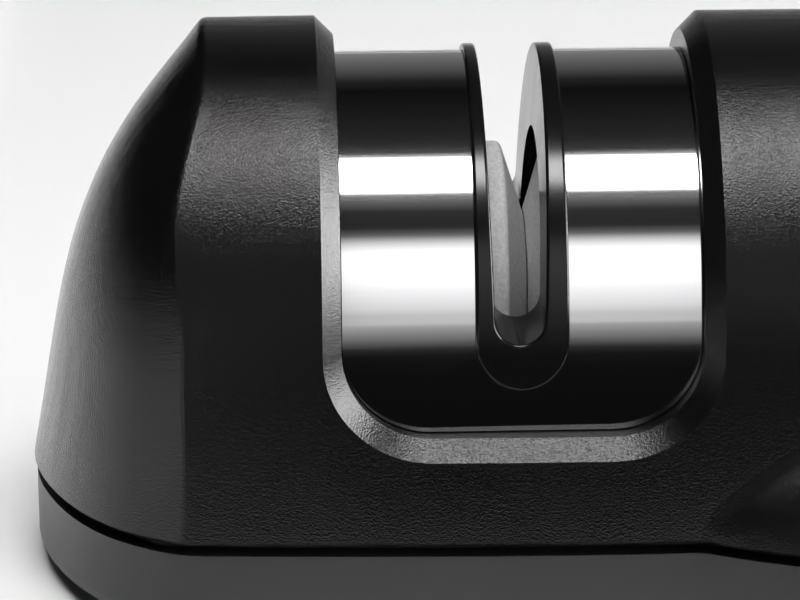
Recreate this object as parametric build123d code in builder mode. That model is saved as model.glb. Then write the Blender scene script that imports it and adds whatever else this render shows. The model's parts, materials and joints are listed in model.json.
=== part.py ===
from build123d import *
import os
from math import atan, cos, degrees, hypot, radians, sin, tan

# Pull through knife sharpener: a head with two towers and one long slot, and a handle on its right.
# X runs along it with the nose at -X, -Y faces the viewer and Z is up. The origin is the middle of
# the outer box, on the surface that the feet stand on. Sizes are in millimetres.

# Overall sizes
nose_reach = 42.0
handle_reach = 137.0
handle_half_width = 31.0
handle_rise = 27.1
foot_proud = 1.2
base_height = 6.9
seam_gap = 0.9
housing_wall = 2.0

# Head section: a nearly upright panel that runs into an arch
arch_radius = 23.5
panel_rise = 15.55
panel_lean_angle = 1.3
crown_radius = 500.0
crown_ahead = 8.0
head_end_reach = 45.0
head_end_sag = 9.0
nose_sag = 14.2
sag_side_inset = 0.5
handle_end_sag = 12.0
handle_end_side_inset = 5.0
nose_edge_radius = 0.8
shoulder_radius = 2.2
end_edge_radius = 5.0
seam_edge = 0.4

# Window, cover plate and slot
window_half_width = 15.15
window_foot = 9.2
window_corner_radius = 7.5
ring_width = 1.6
plate_sunk = 3.2
plate_thickness = 0.6
plate_gap = 0.05
plate_side_gap = 0.1
tab_half_width = 5.0
tab_reach = 3.6
slot_half_width = 3.94
slot_foot = 12.9
slot_end_rise = 4.4
lip_proud = 0.55
lip_width = 1.8
lip_round = 0.25
lip_gap = 0.04
liner_depth = 6.7
liner_flange_width = 1.8
liner_flange_thickness = 1.2
opening_rise = 4.05
opening_shift = -0.2
opening_flare_angle = 1.7

# Wheels on their axle
wheel_gap = 0.7
wheel_neck_wall = 3.75
wheel_width = 5.4
flank_angle = 17.5
wheel_corner = 0.6
axle_drop = 0.65
pair_shift = 1.29
bush_wall = 1.5
axle_radius = 1.5
running_gap = 0.05
washer_thickness = 0.5
washer_radius = 4.5
cheek_thickness = 2.4
cheek_round = 7.0
cheek_foot_half_width = 10.0
cheek_flange_thickness = 2.6
cheek_flange_width = 9.0
pin_end = 1.6
clip_thickness = 0.5
clip_ring = 1.4
clip_groove = 0.3
clip_mouth_half_width = 0.9

# Base, feet and fasteners
base_inset = 0.3
base_outline_points = 150
tongue_outline_points = 360
base_edge = 1.3
base_floor = 2.0
tongue_height = 1.2
tongue_wall = 1.2
tongue_gap = 0.35
foot_radius = 6.0
foot_sunk = 0.8
foot_edge = 0.4
foot_gap = 0.1
screw_radius = 1.45
screw_bite_gap = 0.02
screw_head_radius = 2.7
screw_head_height = 1.7
screw_clearance = 0.15
screw_length = 13.0
screw_seat_rise = 3.0
screw_recess_half_width = 0.35
post_radius = 3.3
post_gap = 0.2
boss_radius = 3.9
short_screw_radius = 1.1
short_screw_head_radius = 2.1
short_screw_head_height = 1.1
short_screw_length = 3.3

# Soft pad on the handle
grip_start = 52.0
grip_length = 66.0
grip_half_width = 12.0
grip_depth = 1.0
grip_proud = 0.4
grip_gap = 0.1
grip_groove_count = 9
grip_groove_width = 1.2
grip_groove_depth = 0.5

# Room past a face for every cut
overrun = 6.0

# Places worked out from the sizes
overall_length = nose_reach + handle_reach
slot_x = nose_reach - overall_length / 2
base_top = foot_proud + base_height
seam_z = base_top + seam_gap
head_rise = panel_rise + arch_radius
arch_z = seam_z + panel_rise
axle_z = arch_z - axle_drop
pair_x = slot_x + pair_shift
plate_radius = arch_radius - plate_sunk
skin_radius = plate_radius - plate_thickness - plate_gap
lip_radius = plate_radius + lip_proud
liner_half_width = slot_half_width - lip_gap
opening_half_width = liner_half_width - lip_width
skin_inner_radius = skin_radius - housing_wall
liner_inner_radius = plate_radius - liner_depth
wheel_radius = liner_inner_radius - wheel_gap
handle_bulge = handle_half_width - arch_radius
floor_z = foot_proud + base_floor
flank_tan = tan(radians(flank_angle))
bush_radius = axle_radius + running_gap + bush_wall
wheel_neck_radius = bush_radius + wheel_neck_wall

# Outline shares. Nose and tail: height share of the head, reach share, sag share.
nose_shares = [(-0.152, 1.024, 1.05), (0, 1, 1), (0.381, 0.937, 0.862)]
nose_shares += [(0.635, 0.864, 0.756), (0.839, 0.747, 0.768), (1.042, 0.612, 0.796)]
head_end_shares = [1.022, 1.0, 0.911, 0.811, 0.711, 0.589]
bow_shares = [(0, 0), (0.37, 0.106), (0.66, 0.325), (0.83, 0.555), (1, 1), (1.15, 1.46)]
arch_station_shares = [-1.13, -0.667, -0.238, 0.19, 0.643, 1.095]
# Handle: reach share, share of its bulge past the head, rise share. The first and last row only
# set slopes.
handle_shares = [(0.064, -0.757, 0.1), (0.093, -0.265, 0.26), (0.122, 0.12, 0.39)]
handle_shares += [(0.158, 0.425, 0.51), (0.208, 0.707, 0.65), (0.266, 0.893, 0.775)]
handle_shares += [(0.35, 1, 0.898), (0.482, 0.946, 0.967), (0.657, 0.785, 1)]
handle_shares += [(0.839, 0.628, 0.956), (1.036, 0.401, 0.785), (1.1, 0.318, 0.7)]
handle_station_count = 22
# Handle end: height share of the handle, reach share
handle_end_shares = [(-0.219, 0.996), (0, 1), (0.29, 0.994), (0.58, 0.971)]
handle_end_shares += [(0.876, 0.927), (1.13, 0.869)]
# Places of posts, feet: reach shares along the nose or handle, and half width shares
post_nose_share = -0.74
post_middle_shares = (0.19, 0.5)
post_end_share = 0.88
foot_front_shares = (-0.57, 0.43)
foot_rear_shares = (0.83, 0.55)


def arch_outline(depth, rise, foot):
    """Draw the head's closed section: leaning panels up to an arch, down to the height foot."""
    lean_tan = tan(radians(panel_lean_angle))
    turn = atan(rise / depth * lean_tan)
    side = depth * cos(turn) + (arch_z + rise * sin(turn) - foot) * lean_tan
    with BuildLine() as outline:
        arch = EllipticalCenterArc(
            (0, arch_z), depth, rise, degrees(turn), arc_size=180 - 2 * degrees(turn)
        )
        Polyline(arch @ 1, (-side, foot), (side, foot), arch @ 0)
    return outline.line


def arch_prism(radius, half_width, foot):
    """Extrude the head's section evenly to both sides of the slot."""
    with BuildPart() as prism:
        with BuildSketch(Plane.YZ.offset(slot_x)):
            add(arch_outline(radius, radius, foot))
            make_face()
        extrude(amount=half_width, both=True)
    return prism.part


def upright_slot(half_width, foot, end_rise, corner):
    """Extrude a U shape through the head from front to rear, open at its top."""
    depth = handle_half_width + overrun
    top = seam_z + head_rise + overrun
    with BuildPart() as tool:
        with BuildSketch(Plane.XZ):
            with BuildLine():
                left = Line((slot_x - half_width, top), (slot_x - half_width, foot + end_rise))
                right = Line((slot_x + half_width, foot + end_rise), (slot_x + half_width, top))
                turn = half_width - corner
                start = (slot_x - turn, foot + end_rise)
                end = (slot_x + turn, foot + end_rise)
                EllipticalCenterArc(start, corner, end_rise, 180, arc_size=90)
                EllipticalCenterArc(end, corner, end_rise, 270, arc_size=90)
                if turn > 0:
                    Line((slot_x - turn, foot), (slot_x + turn, foot))
                Line(right @ 1, left @ 0)
            make_face()
        extrude(amount=depth, both=True)
    return tool.part


def bow_points(tip, sag, half_width, turn):
    """List the points of a bow that bulges by sag, from one side to the other."""
    side = [(tip + turn * bow * sag, along * half_width) for along, bow in bow_shares]
    return [(x, -y) for x, y in reversed(side)] + side[1:]


def head_limits(inset):
    """Loft the space between the nose and the end of the head."""
    faces = []
    half_width = arch_radius - sag_side_inset
    for (rise, reach, sag), end in zip(nose_shares, head_end_shares):
        nose_tip = slot_x - reach * nose_reach + inset
        end_tip = slot_x + end * head_end_reach - inset
        with BuildSketch(Plane.XY.offset(seam_z + rise * head_rise)) as face:
            with BuildLine():
                nose = Spline(bow_points(nose_tip, sag * nose_sag, half_width, 1))
                tail = Spline(bow_points(end_tip, head_end_sag, half_width, -1))
                Line(nose @ 0, tail @ 0)
                Line(nose @ 1, tail @ 1)
            make_face()
        faces.append(face.sketch)
    with BuildPart() as limits:
        loft(sections=faces)
    return limits.part


def handle_limits(inset):
    """Loft the space in front of the handle's rounded end."""
    faces = []
    half_width = handle_half_width - handle_end_side_inset
    for rise, reach in handle_end_shares:
        end_tip = slot_x + reach * handle_reach - inset
        with BuildSketch(Plane.XY.offset(seam_z + rise * handle_rise)) as face:
            with BuildLine():
                bow = Spline(bow_points(end_tip, handle_end_sag, half_width, -1))
                turn_x = (bow @ 1).X
                side = handle_half_width + overrun
                far_side = Polyline(bow @ 1, (turn_x, side), (slot_x, side))
                near_side = Polyline((slot_x, -side), (turn_x, -side), bow @ 0)
                Line(far_side @ 1, near_side @ 0)
            make_face()
        faces.append(face.sketch)
    with BuildPart() as limits:
        loft(sections=faces)
    return limits.part


def head_body(inset):
    """Loft the head with its slightly crowned sides and trim it to the nose and end."""
    faces = []
    foot = seam_z - overrun
    for share in arch_station_shares:
        ahead = share * nose_reach
        drop = (ahead - crown_ahead) ** 2 / (2 * crown_radius)
        with BuildSketch(Plane.YZ.offset(slot_x + ahead)) as face:
            add(arch_outline(arch_radius - drop - inset, arch_radius - inset, foot))
            make_face()
        faces.append(face.sketch)
    limits = head_limits(inset)
    with BuildPart() as head:
        loft(sections=faces)
        add(limits, mode=Mode.INTERSECT)
    return head.part


def share_at(reach, column):
    """Read one column of the handle's shares at a reach, smoothly between its rows."""
    rows = handle_shares
    spot = max(at for at in range(1, len(rows) - 2) if rows[at][0] <= reach or at == 1)
    before, start, end, after = rows[spot - 1 : spot + 3]
    span = end[0] - start[0]
    along = (reach - start[0]) / span
    rise_in = (end[column] - before[column]) / (end[0] - before[0]) * span
    rise_out = (after[column] - start[column]) / (after[0] - start[0]) * span
    change = end[column] - start[column]
    bend = 3 * change - 2 * rise_in - rise_out
    twist = rise_in + rise_out - 2 * change
    return start[column] + along * (rise_in + along * (bend + along * twist))


def handle_body(inset):
    """Loft the handle, inset on all sides."""
    faces = []
    foot = seam_z - overrun
    first = handle_shares[1][0]
    step = (handle_shares[-2][0] - first) / (handle_station_count - 1)
    for station in range(handle_station_count):
        reach = first + station * step
        width = share_at(reach, 1)
        rise = share_at(reach, 2)
        half_width = arch_radius + width * handle_bulge - inset
        with BuildSketch(Plane.YZ.offset(slot_x + reach * handle_reach)) as face:
            with BuildLine():
                top = EllipticalCenterArc(
                    (0, seam_z), half_width, rise * handle_rise - inset, 0, arc_size=180
                )
                Polyline(top @ 1, (-half_width, foot), (half_width, foot), top @ 0)
            make_face()
        faces.append(face.sketch)
    limits = handle_limits(inset)
    with BuildPart() as handle:
        loft(sections=faces)
        add(limits, mode=Mode.INTERSECT)
    return handle.part


def is_nose_edge(edge):
    """Tell whether an edge parts the nose from the sides and the top."""
    box = edge.bounding_box()
    left = edge.center().X < slot_x - window_half_width
    return left and box.size.X < nose_sag / 2 and box.max.Z > seam_z and box.size.Z > overrun


def is_shoulder_edge(edge):
    """Tell whether an edge parts the head's end from the handle or from the head's sides."""
    middle = edge @ (1 / 2)
    box = edge.bounding_box()
    beyond = middle.X > slot_x + window_half_width - ring_width
    within = box.max.X < slot_x + head_end_reach and abs(middle.Y) < arch_radius + ring_width / 2
    return beyond and within and box.size.Z > ring_width


def is_end_edge(edge):
    """Tell whether an edge parts the handle's rounded end from its sides and top."""
    box = edge.bounding_box()
    near_end = edge.center().X > slot_x + handle_reach - 2 * handle_end_sag
    return near_end and box.size.X < 2 * handle_end_sag and box.max.Z > seam_z


def is_window_edge(edge):
    """Tell whether an edge runs round the window's mouth on the outer face."""
    middle = edge @ (1 / 2)
    within = abs(middle.X - slot_x) < window_half_width + plate_gap
    outward = hypot(middle.Y, max(middle.Z - arch_z, 0)) > plate_radius
    return within and outward and middle.Z > seam_z + window_foot - plate_gap


def is_lip_edge(edge):
    """Tell whether an edge runs along the liner's outer face."""
    middle = edge @ (1 / 2)
    outward = hypot(middle.Y, max(middle.Z - arch_z, 0)) > plate_radius
    return outward


def arch_band(outer_radius, inner_radius, half_width, foot, end_rise, corner):
    """Bend a band over the arch and trim its ends to a U shape."""
    inside = arch_prism(inner_radius, half_width + overrun, seam_z - overrun)
    trim = upright_slot(half_width, foot, end_rise, corner)
    with BuildPart() as band:
        add(arch_prism(outer_radius, half_width, seam_z))
        add(inside, mode=Mode.SUBTRACT)
        add(trim, mode=Mode.INTERSECT)
    return band.part


def inset_outline(face, inset, count):
    """Draw one smooth closed line at an inset from a face's outline, through even points."""
    with BuildSketch() as shrunk:
        add(face)
        offset(amount=-inset)
    rim = shrunk.sketch.faces()[0].outer_wire()
    spots = [rim @ (at / count) for at in range(count)]
    with BuildLine() as outline:
        Spline([(spot.X, spot.Y) for spot in spots], periodic=True)
    return outline.line


def washer_shape(inner, outer, start_x, thickness):
    """Turn a flat ring about the axle, from start_x on."""
    with BuildPart() as ring:
        with BuildSketch(Plane.YZ.offset(start_x)):
            with Locations((0, axle_z)):
                Circle(outer)
                Circle(inner, mode=Mode.SUBTRACT)
        extrude(amount=thickness)
    return ring.part


def save(part, name):
    """Label a finished piece and write it."""
    part.label = name
    export_step(part, f"parts/{name}.step")


os.makedirs("parts", exist_ok=True)

# Places of the posts, the feet and the short screws, as (x, y)
post_spots = [
    (slot_x + post_nose_share * nose_reach, 0),
    (slot_x + post_middle_shares[0] * handle_reach, -post_middle_shares[1] * handle_half_width),
    (slot_x + post_middle_shares[0] * handle_reach, post_middle_shares[1] * handle_half_width),
    (slot_x + post_end_share * handle_reach, 0),
]
foot_front_x = slot_x + foot_front_shares[0] * nose_reach
foot_front_y = foot_front_shares[1] * handle_half_width
foot_rear_x = slot_x + foot_rear_shares[0] * handle_reach
foot_rear_y = foot_rear_shares[1] * handle_half_width
cheek_inner = wheel_width + washer_thickness + 2 * running_gap
cheek_outer = cheek_inner + cheek_thickness
flange_middle = cheek_outer + cheek_flange_width / 2
flange_spot_y = cheek_foot_half_width * 2 / 3
short_screw_spots = [
    (pair_x + side * flange_middle, turn * flange_spot_y) for side in (-1, 1) for turn in (-1, 1)
]

# Outer shape of the housing, cut off flat at the seam
with BuildPart() as outer:
    add(head_body(0))
    fillet(outer.edges().filter_by(is_nose_edge), radius=nose_edge_radius)
    add(handle_body(0))
    fillet(outer.edges().filter_by(is_shoulder_edge), radius=shoulder_radius)
    fillet(outer.edges().filter_by(is_end_edge), radius=end_edge_radius)
    split(bisect_by=Plane.XY.offset(seam_z), keep=Keep.TOP)
seam_face = outer.faces().filter_by(Plane.XY).sort_by(SortBy.AREA)[-1]
seam_face = seam_face.moved(Location((0, 0, -seam_z)))

# Space inside the housing
with BuildPart() as hollow:
    add(head_body(housing_wall))
    add(handle_body(housing_wall))
    split(bisect_by=Plane.XY.offset(seam_z), keep=Keep.TOP)
hollow_face = hollow.faces().filter_by(Plane.XY).sort_by(SortBy.AREA)[-1]
hollow_face = hollow_face.moved(Location((0, 0, -seam_z)))

# Skin that stays under the window, and the recess that the plate lies in
skin_foot = seam_z + window_foot - housing_wall
skin_half_width = window_half_width + housing_wall
with BuildPart() as skin_block:
    add(upright_slot(skin_half_width, skin_foot, window_corner_radius, window_corner_radius))
    add(arch_prism(skin_inner_radius, skin_half_width + overrun, seam_z), mode=Mode.SUBTRACT)
window_tool = upright_slot(
    window_half_width, seam_z + window_foot, window_corner_radius, window_corner_radius
)
slot_tool = upright_slot(slot_half_width, seam_z + slot_foot, slot_end_rise, slot_half_width)
with BuildPart() as recess:
    add(window_tool)
    add(arch_prism(skin_radius, window_half_width + overrun, seam_z), mode=Mode.SUBTRACT)

# Pocket and pad of the handle's soft grip
grip_x = slot_x + grip_start + grip_length / 2
grip_foot = seam_z + handle_rise / 2
grip_top = seam_z + handle_rise + overrun
with BuildPart() as grip_pocket:
    with BuildSketch(Plane.XY.offset(grip_foot)):
        with Locations((grip_x, 0)):
            SlotOverall(grip_length + 2 * grip_gap, 2 * (grip_half_width + grip_gap))
    extrude(amount=grip_top - grip_foot)
    add(handle_body(grip_depth), mode=Mode.SUBTRACT)
groove_pitch = (grip_length - 2 * grip_half_width) / (grip_groove_count - 1)
with BuildPart() as grip_grooves:
    with BuildSketch(Plane.XY.offset(grip_foot)):
        with Locations((grip_x, 0)):
            with GridLocations(groove_pitch, 0, grip_groove_count, 1):
                SlotOverall(grip_half_width * 3 / 2, grip_groove_width, rotation=90)
    extrude(amount=grip_top - grip_foot)
    add(handle_body(grip_groove_depth - grip_proud), mode=Mode.SUBTRACT)
with BuildPart() as grip_pad:
    with BuildSketch(Plane.XY.offset(grip_foot)):
        with Locations((grip_x, 0)):
            SlotOverall(grip_length, 2 * grip_half_width)
    extrude(amount=grip_top - grip_foot)
    add(handle_body(-grip_proud), mode=Mode.INTERSECT)
    add(handle_body(grip_depth - grip_gap / 2), mode=Mode.SUBTRACT)
    add(grip_grooves.part, mode=Mode.SUBTRACT)
save(grip_pad.part, "grip_pad")

# Upper housing: towers, window, slot, slits for the plate's tabs, screw posts and handle
tab_foot = seam_z + window_foot + plate_side_gap
tab_outer = plate_radius - plate_thickness / 2
tab_inner = plate_radius - tab_reach
tab_middle = (tab_outer + tab_inner) / 2
with BuildPart() as cavity:
    add(hollow.part)
    add(skin_block.part, mode=Mode.SUBTRACT)
    with BuildSketch(Plane.XY.offset(seam_z + post_gap)):
        with Locations(*post_spots):
            Circle(post_radius)
    extrude(amount=head_rise, mode=Mode.SUBTRACT)
with BuildPart() as tab_slits:
    with BuildSketch(Plane.XY.offset(tab_foot - plate_side_gap)):
        Rectangle(2 * (tab_half_width + plate_side_gap), 2 * plate_radius)
    extrude(amount=plate_thickness + 2 * plate_side_gap)
with BuildPart() as upper_housing:
    add(outer.part)
    underside = upper_housing.faces().filter_by(Plane.XY).sort_by(SortBy.AREA)[-1]
    chamfer(underside.edges(), length=seam_edge)
    add(recess.part, mode=Mode.SUBTRACT)
    chamfer(upper_housing.edges().filter_by(is_window_edge), length=ring_width)
    add(cavity.part, mode=Mode.SUBTRACT)
    add(grip_pocket.part, mode=Mode.SUBTRACT)
    add(slot_tool, mode=Mode.SUBTRACT)
    add(tab_slits.part.moved(Location((slot_x, 0, 0))), mode=Mode.SUBTRACT)
    with BuildSketch(Plane.XY.offset(seam_z)):
        with Locations(*post_spots):
            Circle(screw_radius + screw_bite_gap)
    extrude(amount=screw_length, mode=Mode.SUBTRACT)
save(upper_housing.part, "upper_housing")

# Cover plate: a polished strip bent over the head, with tabs at both feet
plate_half_width = window_half_width - plate_side_gap
plate_foot = seam_z + window_foot + plate_side_gap
with BuildPart() as cover_plate:
    add(
        arch_band(
            plate_radius,
            plate_radius - plate_thickness,
            plate_half_width,
            plate_foot,
            window_corner_radius - plate_side_gap,
            window_corner_radius - plate_side_gap,
        )
    )
    with BuildSketch(Plane.XY.offset(tab_foot)):
        with Locations((slot_x, -tab_middle), (slot_x, tab_middle)):
            Rectangle(2 * tab_half_width, tab_outer - tab_inner)
    extrude(amount=plate_thickness)
    add(slot_tool, mode=Mode.SUBTRACT)
save(cover_plate.part, "cover_plate")

# Slot liner: two raised lips, walls that guide the blade, and a flange under the skin
liner_foot = seam_z + slot_foot + lip_gap
opening_foot = liner_foot + opening_rise
flange_radius = skin_inner_radius - plate_gap
flange_half_width = liner_half_width + liner_flange_width
opening_depth = handle_half_width + overrun
with BuildPart() as opening_tool:
    with BuildSketch(Plane.XZ):
        with BuildLine():
            bend = (slot_x + opening_shift, opening_foot + opening_half_width)
            start = -opening_flare_angle
            bowl = CenterArc(bend, opening_half_width, start, -(180 - 2 * opening_flare_angle))
            reach = head_rise + overrun
            right = PolarLine(bowl @ 0, reach, 90 - opening_flare_angle)
            left = PolarLine(bowl @ 1, reach, 90 + opening_flare_angle)
            Line(left @ 1, right @ 1)
        make_face()
    extrude(amount=opening_depth, both=True)
with BuildPart() as slot_liner:
    add(
        arch_band(
            lip_radius,
            liner_inner_radius,
            liner_half_width,
            liner_foot,
            slot_end_rise - lip_gap,
            liner_half_width,
        )
    )
    add(
        arch_band(
            flange_radius,
            flange_radius - liner_flange_thickness,
            flange_half_width,
            liner_foot - liner_flange_width,
            slot_end_rise + liner_flange_width,
            flange_half_width,
        )
    )
    add(opening_tool.part, mode=Mode.SUBTRACT)
    fillet(slot_liner.edges().filter_by(is_lip_edge), radius=lip_round)
save(slot_liner.part, "slot_liner")

# Wheels, their bushes, washers, cheeks and clips, each on its side of the pair's middle
flank_run = (wheel_radius - wheel_neck_radius) * flank_tan
for side, name in ((-1, "left"), (1, "right")):
    near = pair_x + side * running_gap
    back = pair_x + side * wheel_width
    rim = near + side * flank_run
    with BuildPart() as wheel:
        with BuildSketch(Plane.XZ):
            with BuildLine():
                Polyline(
                    (near, axle_z + bush_radius),
                    (near, axle_z + wheel_neck_radius),
                    (rim, axle_z + wheel_radius),
                    (back, axle_z + wheel_radius),
                    (back, axle_z + bush_radius),
                    close=True,
                )
            make_face()
        revolve(axis=Axis((slot_x, 0, axle_z), (1, 0, 0)))
        rims = wheel.edges().filter_by(GeomType.CIRCLE).sort_by(SortBy.RADIUS)[-2:]
        fillet(rims, radius=wheel_corner)
    save(wheel.part, f"{name}_wheel")

    bush = washer_shape(axle_radius + running_gap, bush_radius, min(near, back), abs(back - near))
    save(bush, f"{name}_hub_bush")

    washer_near = pair_x + side * (wheel_width + running_gap)
    washer_start = min(washer_near, washer_near + side * washer_thickness)
    washer = washer_shape(axle_radius + running_gap, washer_radius, washer_start, washer_thickness)
    save(washer, f"{name}_thrust_washer")

    cheek_face = pair_x + side * cheek_inner
    flange_end = pair_x + side * (cheek_outer + cheek_flange_width)
    with BuildPart() as cheek:
        with BuildSketch(Plane.YZ.offset(cheek_face)):
            with BuildLine():
                Polyline(
                    (-cheek_foot_half_width, floor_z),
                    (cheek_foot_half_width, floor_z),
                    (cheek_round, axle_z),
                    (-cheek_round, axle_z),
                    close=True,
                )
            make_face()
            with Locations((0, axle_z)):
                Circle(cheek_round)
        extrude(amount=side * cheek_thickness)
        with BuildSketch(Plane.XY.offset(floor_z)):
            with Locations(((cheek_face + flange_end) / 2, 0)):
                Rectangle(abs(flange_end - cheek_face), 2 * cheek_foot_half_width)
        extrude(amount=cheek_flange_thickness)
        with BuildSketch(Plane.YZ.offset(cheek_face)):
            with Locations((0, axle_z)):
                Circle(axle_radius + screw_bite_gap)
        extrude(amount=side * cheek_thickness, mode=Mode.SUBTRACT)
        with BuildSketch(Plane.XY.offset(floor_z)):
            with Locations(*[spot for spot in short_screw_spots if (spot[0] - pair_x) * side > 0]):
                Circle(short_screw_radius + screw_bite_gap)
        extrude(amount=cheek_flange_thickness, mode=Mode.SUBTRACT)
    save(cheek.part, f"{name}_cheek")

    clip_near = pair_x + side * (cheek_outer + running_gap)
    clip_start = min(clip_near, clip_near + side * clip_thickness)
    with BuildPart() as clip:
        with BuildSketch(Plane.YZ.offset(clip_start)):
            with Locations((0, axle_z)):
                Circle(axle_radius + clip_ring)
                Circle(axle_radius - clip_groove + screw_bite_gap, mode=Mode.SUBTRACT)
            with Locations((0, axle_z - axle_radius)):
                Rectangle(
                    2 * clip_mouth_half_width,
                    2 * clip_ring,
                    align=(Align.CENTER, Align.MAX),
                    mode=Mode.SUBTRACT,
                )
        extrude(amount=clip_thickness)
    save(clip.part, f"{name}_axle_clip")

# Axle pin with a groove near each end
pin_half_length = cheek_outer + pin_end
with BuildPart() as axle_pin:
    with BuildSketch(Plane.YZ.offset(pair_x)):
        with Locations((0, axle_z)):
            Circle(axle_radius)
    extrude(amount=pin_half_length, both=True)
    chamfer(axle_pin.edges().filter_by(GeomType.CIRCLE), length=clip_groove)
    for side in (-1, 1):
        groove_near = pair_x + side * cheek_outer
        groove_far = groove_near + side * (clip_thickness + 2 * running_gap)
        groove_start = min(groove_near, groove_far)
        groove = washer_shape(
            axle_radius - clip_groove, 2 * axle_radius, groove_start, abs(groove_far - groove_near)
        )
        add(groove, mode=Mode.SUBTRACT)
save(axle_pin.part, "axle_pin")

# Base: a tray with a tongue that reaches up into the housing, bosses and pockets for feet
foot_spots = [
    (foot_front_x, -foot_front_y),
    (foot_front_x, foot_front_y),
    (foot_rear_x, -foot_rear_y),
    (foot_rear_x, foot_rear_y),
]
screw_seat_z = foot_proud + screw_seat_rise
boss_top = seam_z + post_gap / 2
with BuildPart() as base_shell:
    with BuildSketch(Plane.XY.offset(base_top)):
        with BuildLine():
            add(inset_outline(seam_face, base_inset, base_outline_points))
        make_face()
    extrude(amount=-base_height)
    fillet(base_shell.faces().sort_by(Axis.Z)[0].edges(), radius=base_edge)
    with BuildSketch(Plane.XY.offset(floor_z)):
        with BuildLine():
            add(inset_outline(hollow_face, tongue_gap, tongue_outline_points))
        make_face()
    extrude(amount=seam_z + tongue_height - floor_z)
    with BuildSketch(Plane.XY.offset(floor_z)):
        with BuildLine():
            add(
                inset_outline(hollow_face, tongue_gap + tongue_wall, tongue_outline_points)
            )
        make_face()
    extrude(amount=seam_z + tongue_height - floor_z, mode=Mode.SUBTRACT)
    with BuildSketch(Plane.XY.offset(floor_z)):
        with Locations(*post_spots):
            Circle(boss_radius)
    extrude(amount=boss_top - floor_z)
    with BuildSketch(Plane.XY.offset(foot_proud)):
        with Locations(*post_spots):
            Circle(screw_head_radius + screw_clearance)
    extrude(amount=screw_seat_rise, mode=Mode.SUBTRACT)
    with BuildSketch(Plane.XY.offset(foot_proud)):
        with Locations(*post_spots):
            Circle(screw_radius + screw_clearance)
    extrude(amount=seam_z - foot_proud + post_gap, mode=Mode.SUBTRACT)
    with BuildSketch(Plane.XY.offset(foot_proud)):
        with Locations(*short_screw_spots):
            Circle(short_screw_head_radius + screw_clearance)
    extrude(amount=short_screw_head_height, mode=Mode.SUBTRACT)
    with BuildSketch(Plane.XY.offset(foot_proud)):
        with Locations(*short_screw_spots):
            Circle(short_screw_radius + screw_clearance)
    extrude(amount=base_floor, mode=Mode.SUBTRACT)
    with BuildSketch(Plane.XY.offset(foot_proud)):
        with Locations(*foot_spots):
            Circle(foot_radius + foot_gap)
    extrude(amount=foot_sunk, mode=Mode.SUBTRACT)
save(base_shell.part, "base_shell")

# Rubber feet in their pockets
foot_names = ["front_left_foot", "rear_left_foot", "front_right_foot", "rear_right_foot"]
for name, spot in zip(foot_names, foot_spots):
    with BuildPart() as foot:
        with BuildSketch():
            with Locations(spot):
                Circle(foot_radius)
        extrude(amount=foot_proud + foot_sunk)
        chamfer(foot.faces().sort_by(Axis.Z)[0].edges(), length=foot_edge)
    save(foot.part, name)


def screw_group(spots, seat, radius, head_radius, head_height, length):
    """Build one cross-recessed screw at each spot, its head under the seat."""
    with BuildPart() as screws:
        with BuildSketch(Plane.XY.offset(seat)):
            with Locations(*spots):
                Circle(head_radius)
        extrude(amount=-head_height)
        with BuildSketch(Plane.XY.offset(seat - head_height)):
            with Locations(*spots):
                Rectangle(head_radius * 6 / 5, 2 * screw_recess_half_width)
                Rectangle(2 * screw_recess_half_width, head_radius * 6 / 5)
        extrude(amount=head_height / 2, mode=Mode.SUBTRACT)
        with BuildSketch(Plane.XY.offset(seat)):
            with Locations(*spots):
                Circle(radius)
        extrude(amount=length)
    return screws.part


housing_screws = screw_group(
    post_spots, screw_seat_z, screw_radius, screw_head_radius, screw_head_height, screw_length
)
save(housing_screws, "housing_screws")
frame_screws = screw_group(
    short_screw_spots,
    foot_proud + short_screw_head_height,
    short_screw_radius,
    short_screw_head_radius,
    short_screw_head_height,
    short_screw_length,
)
save(frame_screws, "frame_screws")
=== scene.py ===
import json
import math

import bmesh
import bpy
from mathutils import Matrix, Vector


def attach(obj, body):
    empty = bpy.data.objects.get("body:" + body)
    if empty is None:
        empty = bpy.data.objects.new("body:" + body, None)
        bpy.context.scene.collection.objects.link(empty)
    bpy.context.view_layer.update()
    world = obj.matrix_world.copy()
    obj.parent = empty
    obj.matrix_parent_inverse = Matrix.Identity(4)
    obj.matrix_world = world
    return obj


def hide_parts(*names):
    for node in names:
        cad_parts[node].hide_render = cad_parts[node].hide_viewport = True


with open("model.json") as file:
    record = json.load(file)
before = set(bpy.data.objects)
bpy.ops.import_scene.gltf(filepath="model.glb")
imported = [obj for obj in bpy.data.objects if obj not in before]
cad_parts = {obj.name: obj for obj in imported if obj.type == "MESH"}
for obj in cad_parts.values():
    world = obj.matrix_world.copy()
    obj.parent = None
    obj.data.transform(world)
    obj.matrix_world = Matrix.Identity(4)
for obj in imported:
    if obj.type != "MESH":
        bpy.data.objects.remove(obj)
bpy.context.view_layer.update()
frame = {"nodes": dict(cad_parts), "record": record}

mm = 0.001
noiseSpan = (0.3, 0.7)  # where nearly all of a noise's values lie


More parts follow.
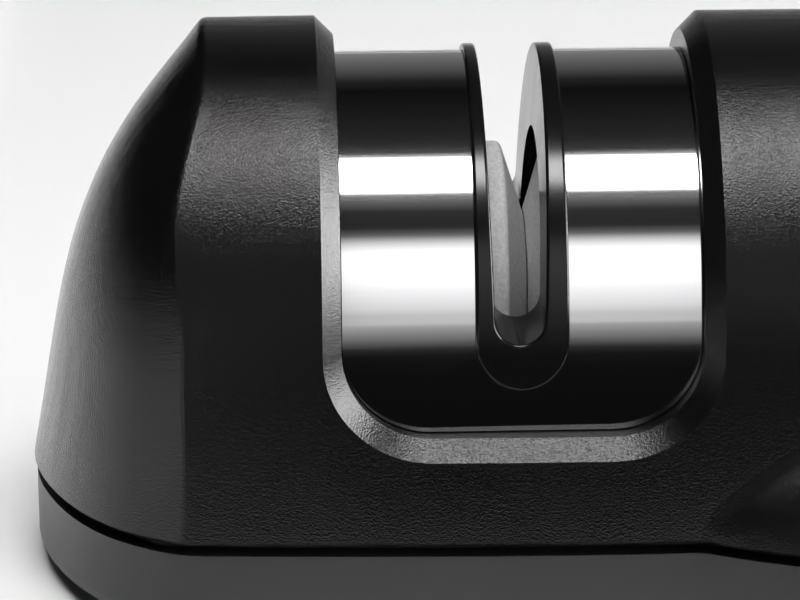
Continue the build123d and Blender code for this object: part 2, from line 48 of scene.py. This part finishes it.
class Flow:
    # one output socket of a node tree, with the operators that the materials use
    def __init__(self, tree, socket):
        self.tree = tree
        self.socket = socket

    def node(self, kind, settings=None, inputs=None, output=0):
        made = self.tree.nodes.new(kind)
        for name, value in (settings or {}).items():
            if name == "stops":
                self.fillRamp(made.color_ramp, value)
            else:
                setattr(made, name, value)
        for name, value in (inputs or {}).items():
            if isinstance(value, Flow):
                self.tree.links.new(value.socket, made.inputs[name])
            else:
                made.inputs[name].default_value = value
        return Flow(self.tree, made.outputs[output])

    def fillRamp(self, ramp, stops):
        while len(ramp.elements) < len(stops):
            ramp.elements.new(0.5)
        for element, (place, shade) in zip(ramp.elements, stops):
            element.position = place
            element.color = (shade, shade, shade, 1)

    def maths(self, operation, first, second=0.0):
        return self.node("ShaderNodeMath", {"operation": operation}, {0: first, 1: second})

    def __add__(self, other):
        return self.maths("ADD", self, other)

    __radd__ = __add__

    def __sub__(self, other):
        return self.maths("SUBTRACT", self, other)

    def __rsub__(self, other):
        return self.maths("SUBTRACT", other, self)

    def __mul__(self, other):
        return self.maths("MULTIPLY", self, other)

    __rmul__ = __mul__

    def __truediv__(self, other):
        return self.maths("DIVIDE", self, other)

    def absolute(self):
        return self.maths("ABSOLUTE", self)

    def smooth(self, low, high, start=0.0, end=1.0):
        inputs = {"Value": self, "From Min": low, "From Max": high, "To Min": start, "To Max": end}
        return self.node("ShaderNodeMapRange", {"interpolation_type": "SMOOTHSTEP"}, inputs)

    def between(self, first, second):
        return self.node("ShaderNodeMix", {"data_type": "RGBA"}, {0: self, 6: first, 7: second}, 2)

    def tinted(self, colour, shades):  # a noise as a colour's darkest and palest shade
        dark, pale = ((*(shade * part for part in colour), 1) for shade in shades)
        return self.smooth(*noiseSpan).between(dark, pale)

    def parts(self):
        split = self.node("ShaderNodeSeparateXYZ", None, {0: self})
        return [Flow(self.tree, socket) for socket in split.socket.node.outputs]

    def stretched(self, scale):
        return self.node("ShaderNodeMapping", None, {"Vector": self, "Scale": scale})

    def noise(self, scale, detail, rough=0.5):
        inputs = {"Vector": self, "Scale": scale, "Detail": detail, "Roughness": rough}
        return self.node("ShaderNodeTexNoise", None, inputs, "Fac")

    def cells(self, scale):
        inputs = {"Vector": self, "Scale": scale}
        return self.node("ShaderNodeTexVoronoi", None, inputs, "Distance")

    def ramp(self, stops):
        return self.node("ShaderNodeValToRGB", {"stops": stops}, {0: self})

    def bump(self, strength, distance):
        inputs = {"Height": self, "Strength": strength, "Distance": distance}
        return self.node("ShaderNodeBump", None, inputs)


def surfaceMaterial(name, fixed):
    material = bpy.data.materials.new(name)
    material.use_nodes = True
    tree = material.node_tree
    shader = tree.nodes["Principled BSDF"]
    for socket, value in fixed.items():
        shader.inputs[socket].default_value = value
    places = tree.nodes.new("ShaderNodeTexCoord").outputs["Object"]
    return material, Flow(tree, places)


def connect(material, **links):
    tree = material.node_tree
    shader = tree.nodes["Principled BSDF"]
    for name, flow in links.items():
        tree.links.new(flow.socket, shader.inputs[name.replace("_", " ")])


housingLook = {  # spark-textured black: a fine grain, and a wide cloud that varies tint and gloss
    "colour": (0.003, 0.003, 0.0032), "shades": (0.8, 1.25), "roughness": 0.19, "gloss": 0.36,
    "grainScale": 7500.0, "grainShare": 0.7, "grainStrength": 1.0, "grainDepth": 0.048 * mm,
    "cellScale": 6000.0, "cellShare": 0.5, "cloudScale": 60.0,
    "cloudRoughness": 0.08, "grainRoughness": 0.12,
}


def makeHousingBlack():
    look = housingLook
    material, place = surfaceMaterial("housingBlack", {"Specular IOR Level": look["gloss"]})
    grain = place.noise(look["grainScale"], detail=3.0, rough=0.6)
    cells = place.cells(look["cellScale"])
    height = grain * look["grainShare"] + cells * look["cellShare"]
    cloud = place.noise(look["cloudScale"], detail=3.0)
    tint = cloud.tinted(look["colour"], look["shades"])
    rough = look["roughness"] + (cloud - 0.5) * look["cloudRoughness"]
    rough = rough + (grain - 0.5) * look["grainRoughness"]
    normal = height.bump(look["grainStrength"], look["grainDepth"])
    connect(material, Base_Color=tint, Roughness=rough, Normal=normal)
    return material


baseLook = {  # smooth moulded dark grey with a slight haze
    "colour": (0.021, 0.0212, 0.0218), "shades": (0.93, 1.07), "roughness": 0.42,
    "hazeScale": 35.0, "hazeRoughness": 0.1,
    "grainScale": 3500.0, "grainStrength": 0.25, "grainDepth": 0.008 * mm,
}


def makeBaseGrey():
    look = baseLook
    material, place = surfaceMaterial("baseGrey", {"Roughness": look["roughness"]})
    haze = place.noise(look["hazeScale"], detail=4.0)
    fine = place.noise(look["grainScale"], detail=2.0)
    tint = haze.tinted(look["colour"], look["shades"])
    rough = look["roughness"] + (haze - 0.5) * look["hazeRoughness"]
    normal = fine.bump(look["grainStrength"], look["grainDepth"])
    connect(material, Base_Color=tint, Roughness=rough, Normal=normal)
    return material


steelLook = {  # polished stainless steel: faint streaks that run across the slot, along X
    "colour": (0.74, 0.74, 0.75), "roughness": 0.07, "streakScale": (25.0, 4200.0, 4200.0),
    "streakRoughness": 0.03, "hazeScale": 90.0, "hazeRoughness": 0.02,
    "streakStrength": 0.05, "streakDepth": 0.002 * mm,
}


def makeCoverSteel():
    look = steelLook
    fixed = {"Metallic": 1.0, "Base Color": (*look["colour"], 1), "Roughness": look["roughness"]}
    material, place = surfaceMaterial("coverSteel", fixed)
    streaks = place.stretched(look["streakScale"]).noise(1.0, detail=3.0, rough=0.55)
    haze = place.noise(look["hazeScale"], detail=3.0)
    rough = look["roughness"] + (streaks - 0.5) * look["streakRoughness"]
    rough = rough + (haze - 0.5) * look["hazeRoughness"]
    normal = streaks.bump(look["streakStrength"], look["streakDepth"])
    connect(material, Roughness=rough, Normal=normal)
    return material


linerLook = {  # glossy black
    "colour": (0.004, 0.004, 0.0043), "roughness": 0.14, "gloss": 0.28,
    "hazeScale": 220.0, "hazeRoughness": 0.08, "hazeStrength": 0.1, "hazeDepth": 0.01 * mm,
}


def makeLinerBlack():
    look = linerLook
    fixed = {"Base Color": (*look["colour"], 1), "Specular IOR Level": look["gloss"]}
    material, place = surfaceMaterial("linerBlack", fixed)
    haze = place.noise(look["hazeScale"], detail=3.0)
    rough = look["roughness"] + haze * look["hazeRoughness"]
    normal = haze.bump(look["hazeStrength"], look["hazeDepth"])
    connect(material, Roughness=rough, Normal=normal)
    return material


wheelLook = {  # pale ceramic abrasive: grit with specks
    "shades": (0.36, 0.5), "roughness": 0.82, "gritScale": 2600.0, "speckScale": 1500.0,
    "speckShare": 0.5, "gritStrength": 0.7, "gritDepth": 0.03 * mm,
}


def makeWheelAbrasive():
    look = wheelLook
    material, place = surfaceMaterial("wheelAbrasive", {"Roughness": look["roughness"]})
    grit = place.noise(look["gritScale"], detail=4.0, rough=0.7)
    specks = place.cells(look["speckScale"])
    height = grit + specks * look["speckShare"]
    normal = height.bump(look["gritStrength"], look["gritDepth"])
    connect(material, Base_Color=grit.tinted((1, 1, 1), look["shades"]), Normal=normal)
    return material


plainLook = {  # what the plainer finishes share
    "shades": (0.85, 1.15), "grainRoughness": 0.15, "grainStrength": 0.4,
}
framePlastic = {"colour": (0.03, 0.03, 0.032), "roughness": 0.5, "scale": 900.0, "depth": 0.01}
bushPlastic = {"colour": (0.6, 0.6, 0.57), "roughness": 0.4, "scale": 800.0, "depth": 0.005}
turnedSteel = {
    "colour": (0.55, 0.55, 0.55), "roughness": 0.3, "scale": 1500.0, "depth": 0.004,
    "metallic": 1.0,
}
zincSteel = {
    "colour": (0.5, 0.5, 0.51), "roughness": 0.35, "scale": 1200.0, "depth": 0.004,
    "metallic": 1.0,
}
gripRubber = {"colour": (0.022, 0.022, 0.023), "roughness": 0.7, "scale": 1800.0, "depth": 0.015}
footRubber = {"colour": (0.02, 0.02, 0.02), "roughness": 0.75, "scale": 1500.0, "depth": 0.015}


def makePlain(name, look):
    fixed = {"Metallic": look.get("metallic", 0.0), "Roughness": look["roughness"]}
    material, place = surfaceMaterial(name, fixed)
    grain = place.noise(look["scale"], detail=3.0, rough=0.6)
    tint = grain.tinted(look["colour"], plainLook["shades"])
    rough = look["roughness"] + (grain - 0.5) * plainLook["grainRoughness"]
    normal = grain.bump(plainLook["grainStrength"], look["depth"] * mm)
    connect(material, Base_Color=tint, Roughness=rough, Normal=normal)
    return material


looks = {
    "housing_black": makeHousingBlack(),
    "cover_steel": makeCoverSteel(),
    "liner_black": makeLinerBlack(),
    "wheel_abrasive": makeWheelAbrasive(),
    "base_grey": makeBaseGrey(),
    "frame_plastic": makePlain("framePlastic", framePlastic),
    "bush_plastic": makePlain("bushPlastic", bushPlastic),
    "hidden_steel": makePlain("turnedSteel", turnedSteel),
    "screw_steel": makePlain("zincSteel", zincSteel),
    "grip_rubber": makePlain("gripRubber", gripRubber),
    "foot_rubber": makePlain("footRubber", footRubber),
}
nodeSlots = {entry["node"]: entry["material_slot"] for entry in frame["record"]["subparts"]}
for name, piece in frame["nodes"].items():
    piece.data.materials.clear()
    piece.data.materials.append(looks[nodeSlots[name]])
print("materials are on the nodes")


def asObject(mesh, name, material):
    data = bpy.data.meshes.new(name)
    mesh.to_mesh(data)
    mesh.free()
    piece = bpy.data.objects.new(name, data)
    bpy.context.scene.collection.objects.link(piece)
    data.materials.append(material)
    return piece


plateSize = {  # in mm and degrees: the bent strip's flat outline, its slot and its arch
    "middleX": -47.5, "archZ": 24.55, "radius": 20.3, "lean": 1.3, "halfWidth": 15.05,
    "footZ": 18.3, "corner": 7.4, "cornerSteps": 16, "slotHalfWidth": 3.94, "slotFootZ": 21.9,
    "slotEndRise": 4.4, "thickness": 0.6, "arcStep": 0.35,
    "rimRadius": 0.1, "rimSteps": 3, "rimAngle": 50.0,
}
nearlyWhole = 0.9999  # a corner as wide as the slot would make the bevel's ends meet
mergeReach = 0.0005  # in mm, as the next
cutReach = 0.00001


def arcLength(size):  # length along the section from the crest to the straight leg
    return size["radius"] * (math.pi / 2 - math.radians(size["lean"]))


def lengthDown(size, z):  # length along the section from the crest down to the height z
    lean = math.radians(size["lean"])
    hipZ = size["archZ"] + size["radius"] * math.sin(lean)
    if z > hipZ:
        return size["radius"] * math.acos((z - size["archZ"]) / size["radius"])
    return arcLength(size) + (hipZ - z) / math.cos(lean)


def bendOver(size, point):  # (x, length along the section) to its place on the arch
    lean = math.radians(size["lean"])
    side = 1 if point.y > 0 else -1
    run = abs(point.y)
    arc = arcLength(size)
    turn = min(run, arc) / size["radius"]
    leg = max(run - arc, 0)
    y = size["radius"] * math.sin(turn) + leg * math.sin(lean)
    z = size["archZ"] + size["radius"] * math.cos(turn) - leg * math.cos(lean)
    return Vector((point.x + size["middleX"], side * y, z))


def roundedOutline(mesh, halfWidth, halfLength, corner, endRise):
    made = bmesh.ops.create_grid(mesh, x_segments=1, y_segments=1, size=1.0)
    for vert in made["verts"]:
        straight = halfLength - endRise + corner
        vert.co = Vector((vert.co.x * halfWidth, vert.co.y * straight, 0))
    bmesh.ops.bevel(
        mesh, geom=made["verts"], offset=corner, offset_type="OFFSET",
        segments=plateSize["cornerSteps"], profile=0.5, affect="VERTICES", material=-1,
    )
    bmesh.ops.delete(mesh, geom=mesh.faces[:], context="FACES_ONLY")


def addSlotOutline(mesh, size):  # its round ends are drawn out to their own rise
    hole = bmesh.new()
    halfWidth = size["slotHalfWidth"]
    length = lengthDown(size, size["slotFootZ"])
    roundedOutline(hole, halfWidth, length, halfWidth * nearlyWhole, size["slotEndRise"])
    straight = length - size["slotEndRise"]
    for vert in hole.verts:
        beyond = abs(vert.co.y) - straight
        if beyond > 0:
            drawn = straight + beyond * size["slotEndRise"] / halfWidth
            vert.co.y = math.copysign(drawn, vert.co.y)
    outline = bpy.data.meshes.new("slotOutline")
    hole.to_mesh(outline)
    mesh.from_mesh(outline)
    bpy.data.meshes.remove(outline)
    hole.free()


def makeCoverPlate():
    size = plateSize
    mesh = bmesh.new()
    rim = lengthDown(size, size["footZ"])
    roundedOutline(mesh, size["halfWidth"], rim, size["corner"], size["corner"])
    addSlotOutline(mesh, size)
    bmesh.ops.remove_doubles(mesh, verts=mesh.verts[:], dist=mergeReach)
    bmesh.ops.triangle_fill(mesh, edges=mesh.edges[:], use_beauty=True)
    arc = arcLength(size)
    steps = int(arc / size["arcStep"])
    for side in (-1, 1):
        for step in range(steps + 1):
            place = (0, side * arc * step / steps, 0)
            bmesh.ops.bisect_plane(
                mesh, geom=mesh.verts[:] + mesh.edges[:] + mesh.faces[:], dist=cutReach,
                plane_co=place, plane_no=(0, 1, 0),
            )
    for vert in mesh.verts:
        vert.co = bendOver(size, vert.co)
    bmesh.ops.scale(mesh, vec=(mm, mm, mm), verts=mesh.verts[:])
    bmesh.ops.recalc_face_normals(mesh, faces=mesh.faces[:])
    if sum(face.normal.z for face in mesh.faces) < 0:
        bmesh.ops.reverse_faces(mesh, faces=mesh.faces[:])
    for face in mesh.faces:
        face.smooth = True
    piece = asObject(mesh, "coverPlate", looks["cover_steel"])
    wall = piece.modifiers.new("wall", "SOLIDIFY")
    wall.thickness = size["thickness"] * mm
    wall.offset = -1
    rims = piece.modifiers.new("rims", "BEVEL")
    rims.width = size["rimRadius"] * mm
    rims.segments = size["rimSteps"]
    rims.limit_method = "ANGLE"
    rims.angle_limit = math.radians(size["rimAngle"])
    rims.harden_normals = True
    return piece


coverPlate = makeCoverPlate()
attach(coverPlate, "housing")
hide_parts("cover_plate")
print("cover plate is bent")


stageLook = {
    "floorShade": 0.76, "floorVeil": 0.01, "floorHaze": 8.0, "floorRoughness": 0.6,
    "floorGloss": 0.2, "floorReach": 3.0, "floorSunk": 0.05, "backShade": 0.86, "roomLight": 0.02,
}


def grey(shade):
    return (shade, shade, shade, 1)


def makeFloor():
    look = stageLook
    mesh = bmesh.new()
    bmesh.ops.create_grid(mesh, x_segments=1, y_segments=1, size=look["floorReach"])
    bmesh.ops.translate(mesh, vec=(0, 0, -look["floorSunk"] * mm), verts=mesh.verts[:])
    fixed = {"Roughness": look["floorRoughness"], "Specular IOR Level": look["floorGloss"]}
    material, place = surfaceMaterial("paleFloor", fixed)
    haze = place.noise(look["floorHaze"], detail=3.0)
    shade, veil = look["floorShade"], look["floorVeil"]
    connect(material, Base_Color=haze.between(grey(shade - veil), grey(shade + veil)))
    asObject(mesh, "paleFloor", material)


def glowing(name, makeStrength):
    material = bpy.data.materials.new(name)
    material.use_nodes = True
    tree = material.node_tree
    tree.nodes.remove(tree.nodes["Principled BSDF"])
    place = Flow(tree, tree.nodes.new("ShaderNodeTexCoord").outputs["Object"])
    inputs = {"Color": grey(1), "Strength": makeStrength(place)}
    glow = place.node("ShaderNodeEmission", None, inputs)
    tree.links.new(glow.socket, tree.nodes["Material Output"].inputs["Surface"])
    return material


def stagePanel(mesh, look, makeStrength):  # the camera doesn't see it, and it casts no shadow
    name = look["name"]
    piece = asObject(mesh, name, glowing(name, makeStrength))
    piece.visible_camera = False
    piece.visible_shadow = False
    piece.visible_transmission = False
    piece.visible_diffuse = look.get("diffuse", False)
    piece.visible_glossy = look.get("glossy", True)


# Panels bent round the head, in mm; a stop is an angle in degrees above the front horizon and
# the share of the strength there
boxLight = {  # soft box overhead
    "name": "boxLight", "radius": 880.0, "halfWidth": 310.0, "fade": 40.0, "middleX": -30.0,
    "strength": 26.5, "diffuse": True, "stops": [
        (60, 0.004), (62.5, 0.02), (64.5, 0.25), (66.5, 1.0), (77.5, 1.0), (80, 0.3), (82, 0.01),
        (84, 0.001),
    ],
}
stripLight = {  # narrow strip in front, which the polished plate shows
    "name": "stripLight", "radius": 860.0, "halfWidth": 62.0, "fade": 7.0, "middleX": 7.5,
    "strength": 1.72, "stops": [
        (-3, 0.40), (3, 0.42), (6, 0.55), (14.6, 0.74), (20, 0.9), (28, 1.0), (33, 0.95),
        (37.4, 0.55), (41.3, 0.09), (45, 0.016), (53, 0.016), (56, 0.05), (60, 0.1), (62, 0.02),
    ],
}
ringLight = {  # dim strip further right, which the window's left edge shows by way of the plate
    "name": "ringLight", "radius": 870.0, "halfWidth": 190.0, "fade": 60.0, "middleX": 520.0,
    "strength": 1.0, "stops": [(-1.2, 0.9), (20, 0.9), (45, 0.9), (60, 0.7), (70, 0.2)],
}
dimTent = {  # what the plate shows round them
    "name": "dimTent", "radius": 900.0, "halfWidth": 2600.0, "fade": 60.0, "middleX": 0.0,
    "strength": 1.0, "stops": [
        (4, 0.0), (64, 0.0), (82, 0.02), (86, 0.021), (103, 0.015), (114, 0.01), (127, 0.006),
        (136, 0.02), (147, 0.09), (165, 0.18), (178, 0.24),
    ],
}
frontFlag = {  # dark board on the far floor in front
    "name": "frontFlag", "radius": 895.0, "halfWidth": 420.0, "fade": 40.0, "middleX": 0.0,
    "strength": 0.002, "stops": [(-2, 1.0), (5, 1.0)],
}
stepAngle = 2.0  # degrees for each flat of a bent panel
leastSteps = 8


def makeArcPanel(look):
    first, last = look["stops"][0][0], look["stops"][-1][0]
    span = last - first
    radius = look["radius"] * mm
    middle = Vector((look["middleX"] * mm, 0, plateSize["archZ"] * mm))
    low = math.radians(first)
    start = middle + Vector((0, -radius * math.cos(low), radius * math.sin(low)))
    half = look["halfWidth"] * mm
    mesh = bmesh.new()
    mesh.edges.new([mesh.verts.new(start + Vector((side * half, 0, 0))) for side in (-1, 1)])
    bmesh.ops.spin(
        mesh, geom=mesh.verts[:] + mesh.edges[:], cent=middle, axis=(1, 0, 0),
        angle=-math.radians(span), steps=max(leastSteps, int(span / stepAngle)),
    )

    def strength(place):
        x, y, z = place.parts()
        angle = place.maths("ARCTAN2", z - middle.z, y * -1.0) * (180 / math.pi)
        stops = [((at - first) / span, share) for at, share in look["stops"]]
        shares = ((angle - first) / span).ramp(stops)
        ends = (x - middle.x).absolute().smooth(half - look["fade"] * mm, half, 1.0, 0.0)
        return shares * ends * look["strength"]

    stagePanel(mesh, look, strength)


# Upright panels at the sides, from their low to their high corner in mm
sideLight = {  # soft box on the right, which the window's left edge shows
    "name": "sideLight", "low": (700.0, -520.0, 10.0), "high": (700.0, 200.0, 460.0),
    "strength": 24.0,
}
leftFlag = {  # dark board on the left
    "name": "leftFlag", "low": (-165.0, -200.0, 1.0), "high": (-165.0, 700.0, 600.0),
    "strength": 0.004,
}
fillLight = {  # soft box on the right that lights rough surfaces and shows in none
    "name": "fillLight", "low": (720.0, -420.0, 20.0), "high": (720.0, 300.0, 520.0),
    "strength": 5.0, "diffuse": True, "glossy": False,
}


def makeSidePanel(look):
    low, high = Vector(look["low"]), Vector(look["high"])
    size, middle = high - low, (low + high) / 2
    mesh = bmesh.new()
    bmesh.ops.create_grid(mesh, x_segments=1, y_segments=1, size=0.5)
    bmesh.ops.scale(mesh, vec=(size.z * mm, size.y * mm, 1), verts=mesh.verts[:])
    turn = Matrix.Rotation(math.copysign(math.pi / 2, -middle.x), 3, "Y")
    bmesh.ops.rotate(mesh, cent=(0, 0, 0), matrix=turn, verts=mesh.verts[:])
    bmesh.ops.translate(mesh, vec=middle * mm, verts=mesh.verts[:])
    stagePanel(mesh, look, lambda place: look["strength"])


def levelBoard(low, high):  # a rectangle just over the floor, between two corners in mm
    size, middle = Vector(high) - Vector(low), (Vector(low) + Vector(high)) / 2
    mesh = bmesh.new()
    bmesh.ops.create_grid(mesh, x_segments=1, y_segments=1, size=0.5)
    bmesh.ops.scale(mesh, vec=(size.x * mm, size.y * mm, 1), verts=mesh.verts[:])
    bmesh.ops.translate(mesh, vec=middle * mm, verts=mesh.verts[:])
    return mesh


paintedFrontShading = {  # painted floor shade and light in front of the head, seen only in reflections: near black, with a painted lit part that fans out
    "name": "paintedFrontShading", "low": (-130.0, -890.0, 0.6), "high": (260.0, -45.0, 0.6),
    "middle": -50.0, "middleSlope": 0.061, "half": 19.0, "halfSlope": 0.042, "litFade": 10.0,
    "fade": 45.0, "sideShade": 0.8, "darkShade": 0.004,
    "stops": [  # a distance in front, and the painted brightness of the lit part there
        (45, 0.004), (95, 0.005), (120, 0.03), (150, 0.12), (190, 0.22), (320, 0.36), (890, 0.6),
    ],
}


def makePaintedFrontShading():
    look = paintedFrontShading
    left, right = look["low"][0] * mm, look["high"][0] * mm
    reach = look["stops"][-1][0]
    edge = (right - left) / 2

    # painted shade and light: it glows for reflections only, near black by the head and brighter
    # with distance, standing in for how the floor in front is lit
    def strength(place):
        x, y, z = place.parts()
        ahead = y * -1.0
        shades = (ahead / (reach * mm)).ramp([(at / reach, shade) for at, shade in look["stops"]])
        line = ahead * look["middleSlope"] + look["middle"] * mm
        half = ahead * look["halfSlope"] + look["half"] * mm
        paintedLitPart = ((x - line).absolute() - half).smooth(0.0, look["litFade"] * mm, 1.0, 0.0)
        outer = (x - (left + right) / 2).absolute().smooth(edge - look["fade"] * mm, edge)
        return shades * paintedLitPart + (1 - paintedLitPart) * (outer * look["sideShade"] + look["darkShade"])

    stagePanel(levelBoard(look["low"], look["high"]), look, strength)


paintedLeftReflection = {  # a glowing sheet on the floor to the left, which only reflections see: a painted reflection of a pale floor on the nose
    "name": "paintedLeftReflection", "low": (-160.0, -160.0, 0.7), "high": (-99.0, 260.0, 0.7), "strength": 1.5,
}


def makePaintedLeftReflection():
    # painted reflection: the sheet glows for reflections only and lights nothing
    look = paintedLeftReflection
    stagePanel(levelBoard(look["low"], look["high"]), look, lambda place: look["strength"])


def lightRoom():  # a camera, a mirror or glass sees the backdrop, the rest gets the room's light
    world = bpy.data.worlds.new("paleRoom")
    bpy.context.scene.world = world
    world.use_nodes = True
    tree = world.node_tree
    rays = tree.nodes.new("ShaderNodeLightPath")
    seen = Flow(tree, rays.outputs["Is Camera Ray"])
    for kind in ("Is Glossy Ray", "Is Transmission Ray"):
        seen = seen.maths("MAXIMUM", seen, Flow(tree, rays.outputs[kind]))
    room = stageLook["roomLight"]
    strength = seen * (stageLook["backShade"] - room) + room
    background = tree.nodes["Background"]
    background.inputs["Color"].default_value = grey(1)
    tree.links.new(strength.socket, background.inputs["Strength"])


makeFloor()
makePaintedLeftReflection()
for look in (boxLight, stripLight, ringLight, dimTent, frontFlag):
    makeArcPanel(look)
for look in (sideLight, leftFlag, fillLight):
    makeSidePanel(look)
makePaintedFrontShading()
lightRoom()
print("stage is lit")


cameraFit = {  # fitted to the photograph's edges and outlines; mm, degrees and pixels
    "place": (-70.64, -375.18, 155.57), "azimuth": -2.012, "elevation": 19.322, "roll": -0.18,
    "focalPixels": 4529.18, "centre": (394.67, 288.32), "width": 800, "height": 600,
    "sensorWidth": 36.0, "clipStart": 0.01,
}


def makeCamera():
    fit = cameraFit
    azimuth, elevation, roll = (math.radians(fit[key]) for key in ("azimuth", "elevation", "roll"))
    level = math.cos(elevation)
    back = Vector((math.sin(azimuth) * level, -math.cos(azimuth) * level, math.sin(elevation)))
    right = Vector((math.cos(azimuth), math.sin(azimuth), 0))
    up = right.cross(-back)
    right = right * math.cos(roll) + up * math.sin(roll)
    up = right.cross(-back)
    data = bpy.data.cameras.new("photoCamera")
    data.sensor_fit = "HORIZONTAL"
    data.sensor_width = fit["sensorWidth"]
    data.lens = fit["sensorWidth"] * fit["focalPixels"] / fit["width"]
    data.shift_x = (fit["width"] / 2 - fit["centre"][0]) / fit["width"]
    data.shift_y = (fit["centre"][1] - fit["height"] / 2) / fit["width"]
    data.clip_start = fit["clipStart"]
    camera = bpy.data.objects.new("photoCamera", data)
    bpy.context.scene.collection.objects.link(camera)
    turn = Matrix((right, up, back)).transposed().to_4x4()
    camera.matrix_world = Matrix.Translation(Vector(fit["place"]) * mm) @ turn
    bpy.context.scene.camera = camera


makeCamera()
bpy.context.scene.view_settings.view_transform = "Standard"
print("camera is set")
